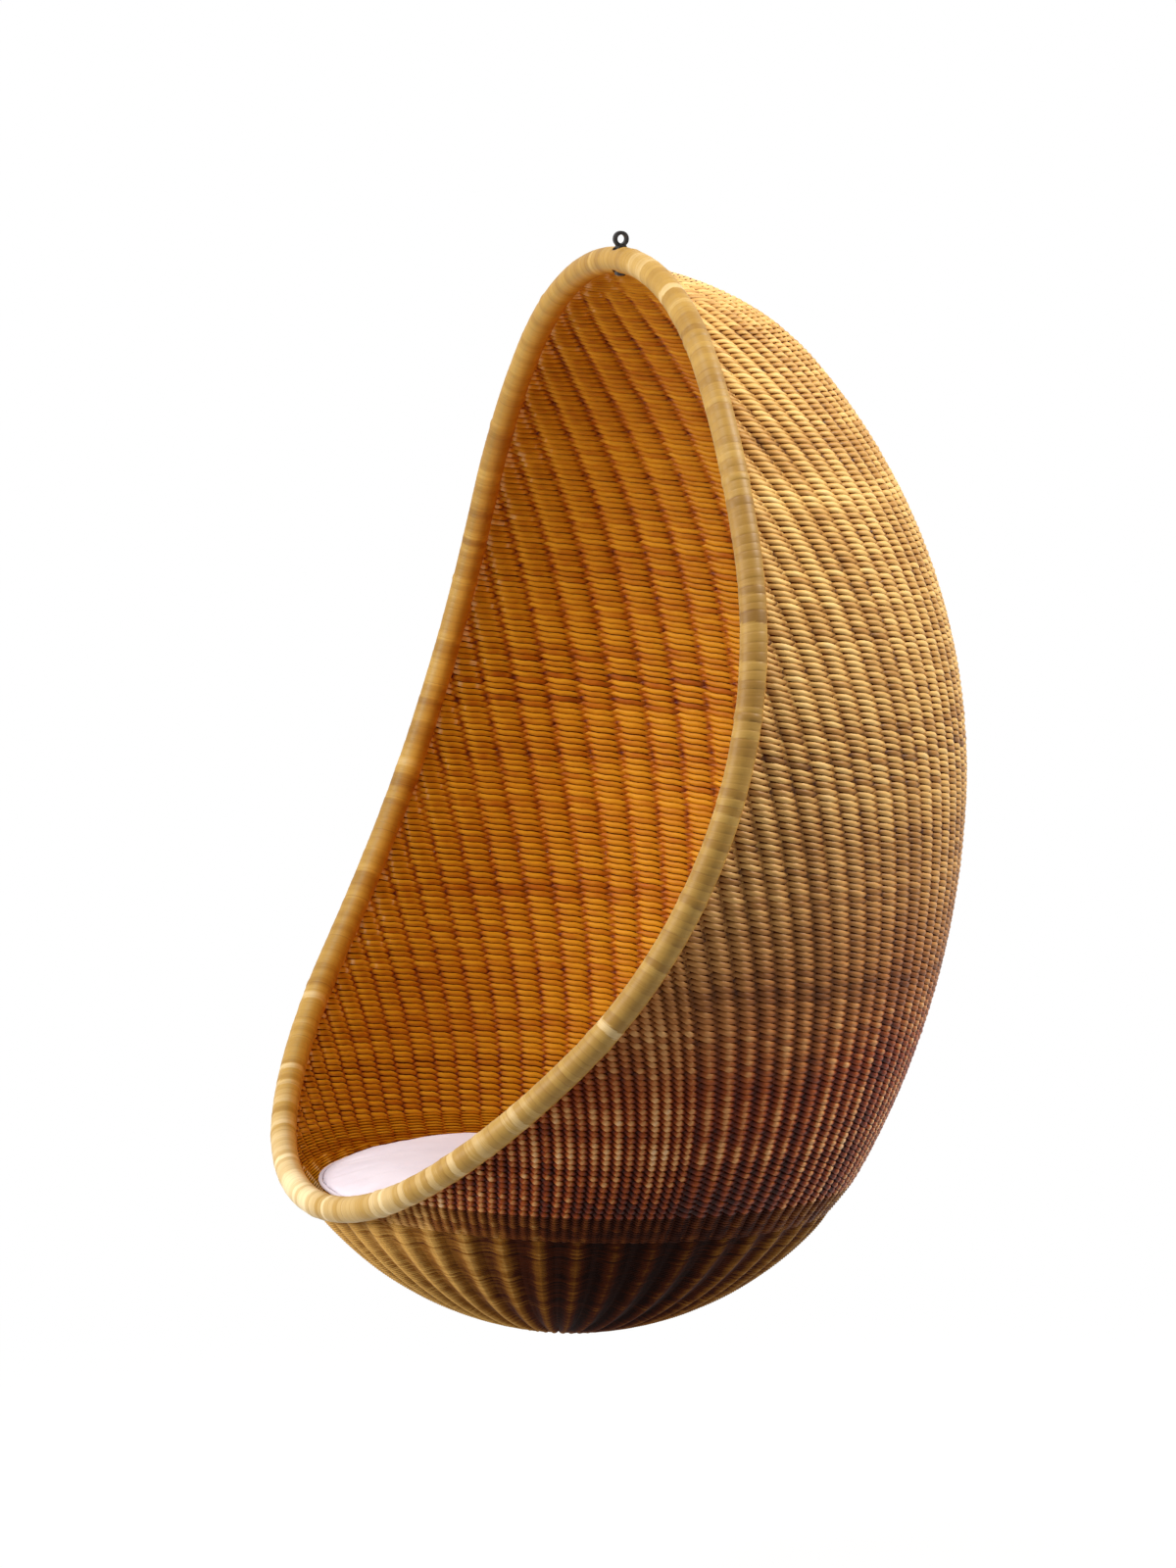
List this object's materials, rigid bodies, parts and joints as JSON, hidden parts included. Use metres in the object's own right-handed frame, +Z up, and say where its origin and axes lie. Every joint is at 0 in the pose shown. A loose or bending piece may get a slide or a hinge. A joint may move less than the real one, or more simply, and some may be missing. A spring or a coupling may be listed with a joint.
{
  "type": "hanging egg chair",
  "caption": "Egg-shaped woven rattan hanging chair with a wrapped rim round its tall mouth, a loose round cushion and a swivel hanger on top.",
  "frame": {"origin": "centre of the hanging eye's bore, which the hook or link that carries the chair goes through", "axes": "+Z up, -Y out of the mouth towards the front, +X along the eye's bore to the sitter's left"},
  "size_m": [0.9022, 0.7892, 1.2592],
  "materials": {
    "rim_pole": "bent rattan pole",
    "rim_wrap": "glossy rattan peel",
    "weave_outside": "satin rattan core",
    "weave_inside": "satin rattan core",
    "stakes": "satin rattan core",
    "band": "dark satin rattan core",
    "cushion_cover": "plain woven cloth",
    "cushion_foam": "foam",
    "hanger_steel": "black",
    "bearing_brass": "turned"
  },
  "bodies": {
    "hanger": {"hanging_eye": "hanger_steel"},
    "stem": {"swivel_stem": "hanger_steel", "clevis_pin": "hanger_steel", "pin_retaining_ring": "hanger_steel", "lock_nut": "hanger_steel"},
    "egg": {"rim_pole": "rim_pole", "rim_wrap": "rim_wrap", "base_disc": "weave_outside", "base_sticks": "stakes", "upsett_band": "band", "right_stakes": "stakes", "back_stakes": "stakes", "left_stakes": "stakes", "base_weave_outside": "weave_outside", "lower_weave_outside": "weave_outside", "middle_weave_outside": "weave_outside", "upper_weave_outside": "weave_outside", "crown_weave_outside": "weave_outside", "base_weave_inside": "weave_inside", "lower_weave_inside": "weave_inside", "middle_weave_inside": "weave_inside", "upper_weave_inside": "weave_inside", "crown_weave_inside": "weave_inside", "swivel_bush": "bearing_brass", "load_washer": "hanger_steel", "thrust_washer": "bearing_brass"},
    "cushion": {"cushion_cover": "cushion_cover", "cushion_foam": "cushion_foam", "cushion_welt": "cushion_cover"}
  },
  "joints": [
    {"name": "swing", "type": "hinge", "parent": "hanger", "child": "stem", "pos_m": [0, 0, -0.01], "axis": [1, 0, 0], "range_deg": [-22, 22]},
    {"name": "swivel", "type": "hinge", "parent": "stem", "child": "egg", "pos_m": [0, 0, 0], "axis": [0, 0, 1], "continuous": true},
    {"name": "cushion_lift", "type": "slide", "parent": "egg", "child": "cushion", "axis": [0, 0, 1], "range_m": [0, 0.15]}
  ]
}
